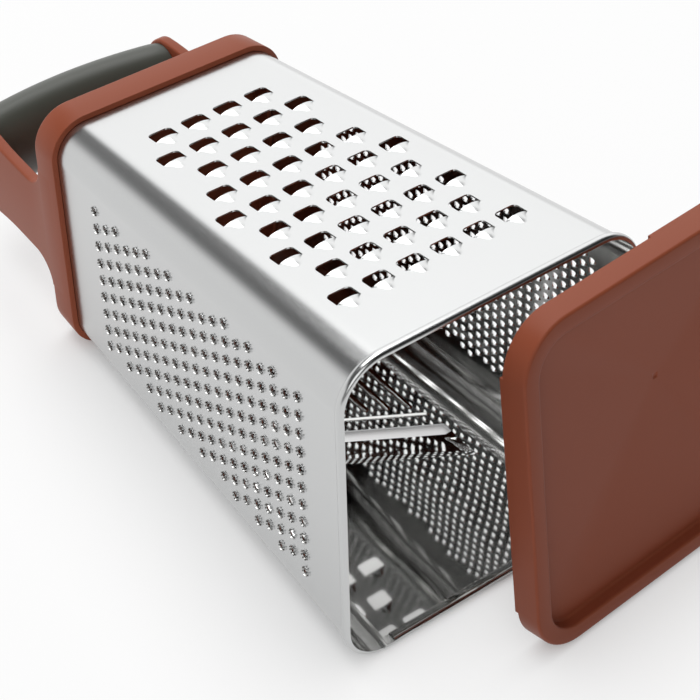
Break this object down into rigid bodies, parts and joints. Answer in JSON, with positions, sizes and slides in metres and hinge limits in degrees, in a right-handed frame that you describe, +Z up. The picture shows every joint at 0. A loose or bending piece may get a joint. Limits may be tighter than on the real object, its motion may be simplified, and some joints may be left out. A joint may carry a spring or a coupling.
{
  "type": "box grater",
  "caption": "Four-sided tapered steel grater lying on one face, with a plastic top frame, a bowed grip and a loose base cap stood beside its open end.",
  "frame": {"origin": "middle of the whole object's footprint on the table, tube and cap together", "axes": "+Y from the open end towards the grip, +Z up from the table, +X to the right when the open end is looked into from the cap's side"},
  "size_m": [0.1518, 0.2628, 0.112],
  "materials": {
    "steel_sheet": "satin outside, bright inside",
    "terracotta_plastic": "matte",
    "grip_plastic": "satin",
    "core_plastic": "matte"
  },
  "bodies": {
    "grater": {"coarse_panel": "steel_sheet", "rasp_panel": "steel_sheet", "fine_panel": "steel_sheet", "slicer_panel": "steel_sheet", "bend_coarse_fine": "steel_sheet", "bend_coarse_rasp": "steel_sheet", "bend_slicer_fine": "steel_sheet", "bend_slicer_rasp": "steel_sheet", "rim_bead": "steel_sheet", "top_band": "terracotta_plastic", "top_deck": "terracotta_plastic", "left_arm": "terracotta_plastic", "right_arm": "terracotta_plastic", "grip": "grip_plastic", "grip_core": "core_plastic"},
    "cap": {"base_cap": "terracotta_plastic"}
  },
  "joints": [
    {"name": "cap_take_away", "type": "slide", "parent": "grater", "child": "cap", "axis": [0, -1, 0], "range_m": [0, 0.12]}
  ]
}
